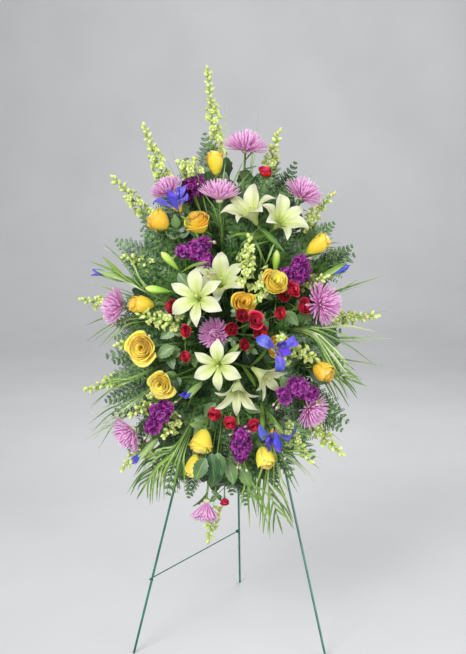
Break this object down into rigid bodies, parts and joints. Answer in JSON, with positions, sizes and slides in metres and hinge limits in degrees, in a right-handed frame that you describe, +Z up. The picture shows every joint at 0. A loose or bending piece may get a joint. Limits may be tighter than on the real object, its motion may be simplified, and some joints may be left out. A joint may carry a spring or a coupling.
{
  "type": "standing funeral spray",
  "caption": "Tall oval spray of cut flowers and foliage, set in caged wet foam on a folding wire easel with a hinged rear leg and a stay rod.",
  "frame": {"origin": "on the floor, under the middle of the whole spray and easel", "axes": "+Z up, -Y towards the viewer, +X to the viewer's right; the hinge of the easel is along X"},
  "size_m": [0.8101, 0.6724, 1.5229],
  "materials": {
    "easel_enamel": "teal-green enamelled wire, satin",
    "cage_plastic": "dark green moulded plastic, matte",
    "wet_foam": "wet floral foam, fine open grain",
    "lily": "creamy white petals with green-yellow throats",
    "yellow_rose": "golden yellow rose petals, soft velvet",
    "red_rose": "crimson spray rose petals",
    "iris": "violet-blue petals with a yellow blotch",
    "stock": "deep purple florets",
    "spider_mum": "mauve-pink florets, paler at their tips",
    "lime_spike": "lime-green florets on green stems",
    "palm": "green palm leaflets, satin",
    "fern": "dark blue-green fern, leathery",
    "grass": "pale green grass blades"
  },
  "bodies": {
    "easel_and_spray": {"front_leg_left": "easel_enamel", "front_leg_right": "easel_enamel", "hinge_bar": "easel_enamel", "cross_bar": "easel_enamel", "foam_cage": "cage_plastic", "foam_back": "wet_foam", "foam_front": "wet_foam", "lily_stem_1": "lily", "lily_stem_2": "lily", "lily_stem_3": "lily", "yellow_rose_01": "yellow_rose", "yellow_rose_02": "yellow_rose", "yellow_rose_03": "yellow_rose", "yellow_rose_04": "yellow_rose", "yellow_rose_05": "yellow_rose", "yellow_rose_06": "yellow_rose", "yellow_rose_07": "yellow_rose", "yellow_rose_08": "yellow_rose", "yellow_rose_09": "yellow_rose", "yellow_rose_10": "yellow_rose", "yellow_rose_11": "yellow_rose", "yellow_rose_12": "yellow_rose", "yellow_rose_13": "yellow_rose", "yellow_rose_14": "yellow_rose", "red_rose_spray_1": "red_rose", "red_rose_spray_2": "red_rose", "red_rose_spray_3": "red_rose", "red_rose_spray_4": "red_rose", "red_rose_spray_5": "red_rose", "red_rose_spray_6": "red_rose", "iris_01": "iris", "iris_02": "iris", "iris_03": "iris", "iris_bud_01": "iris", "iris_bud_02": "iris", "iris_bud_03": "iris", "iris_bud_04": "iris", "stock_01": "stock", "stock_02": "stock", "stock_03": "stock", "stock_04": "stock", "stock_05": "stock", "stock_06": "stock", "spider_mum_01": "spider_mum", "spider_mum_02": "spider_mum", "spider_mum_03": "spider_mum", "spider_mum_04": "spider_mum", "spider_mum_05": "spider_mum", "spider_mum_06": "spider_mum", "spider_mum_07": "spider_mum", "spider_mum_08": "spider_mum", "spider_mum_09": "spider_mum", "spider_mum_10": "spider_mum", "snapdragons_above": "lime_spike", "snapdragons_below": "lime_spike", "palm_fronds": "palm", "fern_fronds": "fern", "grass_blades": "grass"},
    "rear_leg": {"rear_leg": "easel_enamel"},
    "stay": {"stay_rod": "easel_enamel"}
  },
  "joints": [
    {"name": "rear_leg_fold", "type": "hinge", "parent": "easel_and_spray", "child": "rear_leg", "pos_m": [0, 0.074, 1], "axis": [1, 0, 0], "range_deg": [-25, 0]},
    {"name": "stay_lift", "type": "hinge", "parent": "rear_leg", "child": "stay", "pos_m": [-0.00491, 0.29045, 0.177], "axis": [-0.8932, 0.4497, 0], "range_deg": [0, 76]}
  ]
}
